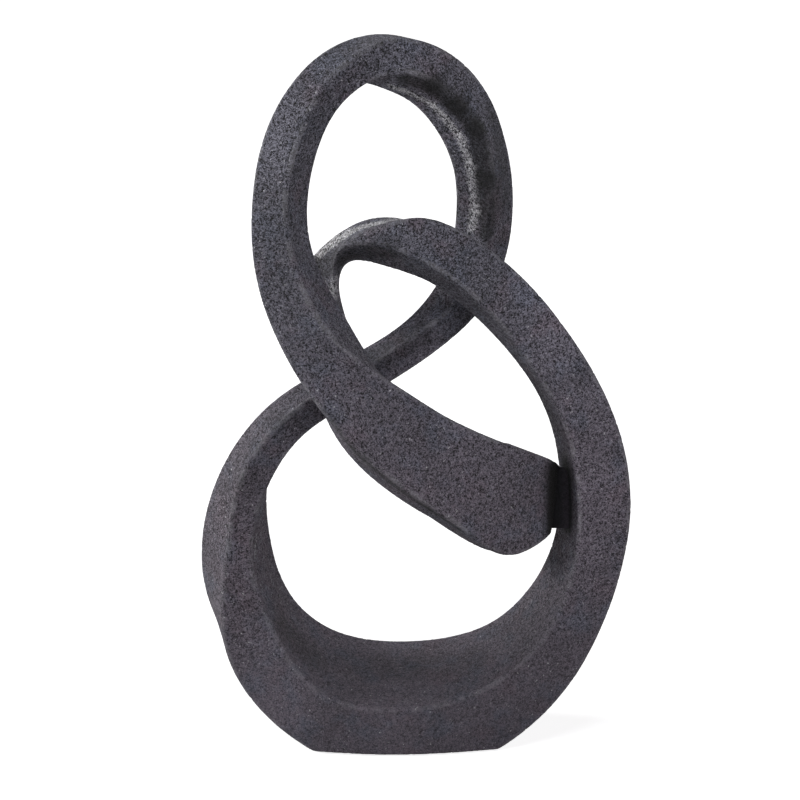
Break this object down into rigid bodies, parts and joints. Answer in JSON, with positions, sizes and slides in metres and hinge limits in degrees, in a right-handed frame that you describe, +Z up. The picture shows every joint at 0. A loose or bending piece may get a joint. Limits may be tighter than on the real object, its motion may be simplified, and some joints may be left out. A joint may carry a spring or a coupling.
{
  "type": "knot sculpture",
  "caption": "Free-standing knot of one closed four-faced bar, with a tall upper loop, a wide lower loop and a return bend, on a ground-flat foot.",
  "frame": {"origin": "middle of the bounding box's bottom, on the surface that the foot stands on", "axes": "+Z up, +X to the right and -Y towards the viewer, as in the picture"},
  "size_m": [0.2267, 0.0956, 0.3783],
  "materials": {
    "sand_textured_paint": "matte sand-textured charcoal paint over cast metal",
    "black_rubber": "matte",
    "dowel_steel": "bright drawn bar",
    "black_felt": "pressed felt"
  },
  "bodies": {
    "root": {"foot_bow": "sand_textured_paint", "right_limb": "sand_textured_paint", "second_arc": "sand_textured_paint", "crook": "sand_textured_paint", "rear_arm": "sand_textured_paint", "return_bend": "sand_textured_paint", "front_arm": "sand_textured_paint", "upper_left_bow": "sand_textured_paint", "upper_right_bow": "sand_textured_paint", "cross_arm": "sand_textured_paint", "left_limb": "sand_textured_paint", "slot_pad": "black_rubber", "dowel_pins": "dowel_steel", "felt_pad": "black_felt"}
  },
  "joints": []
}
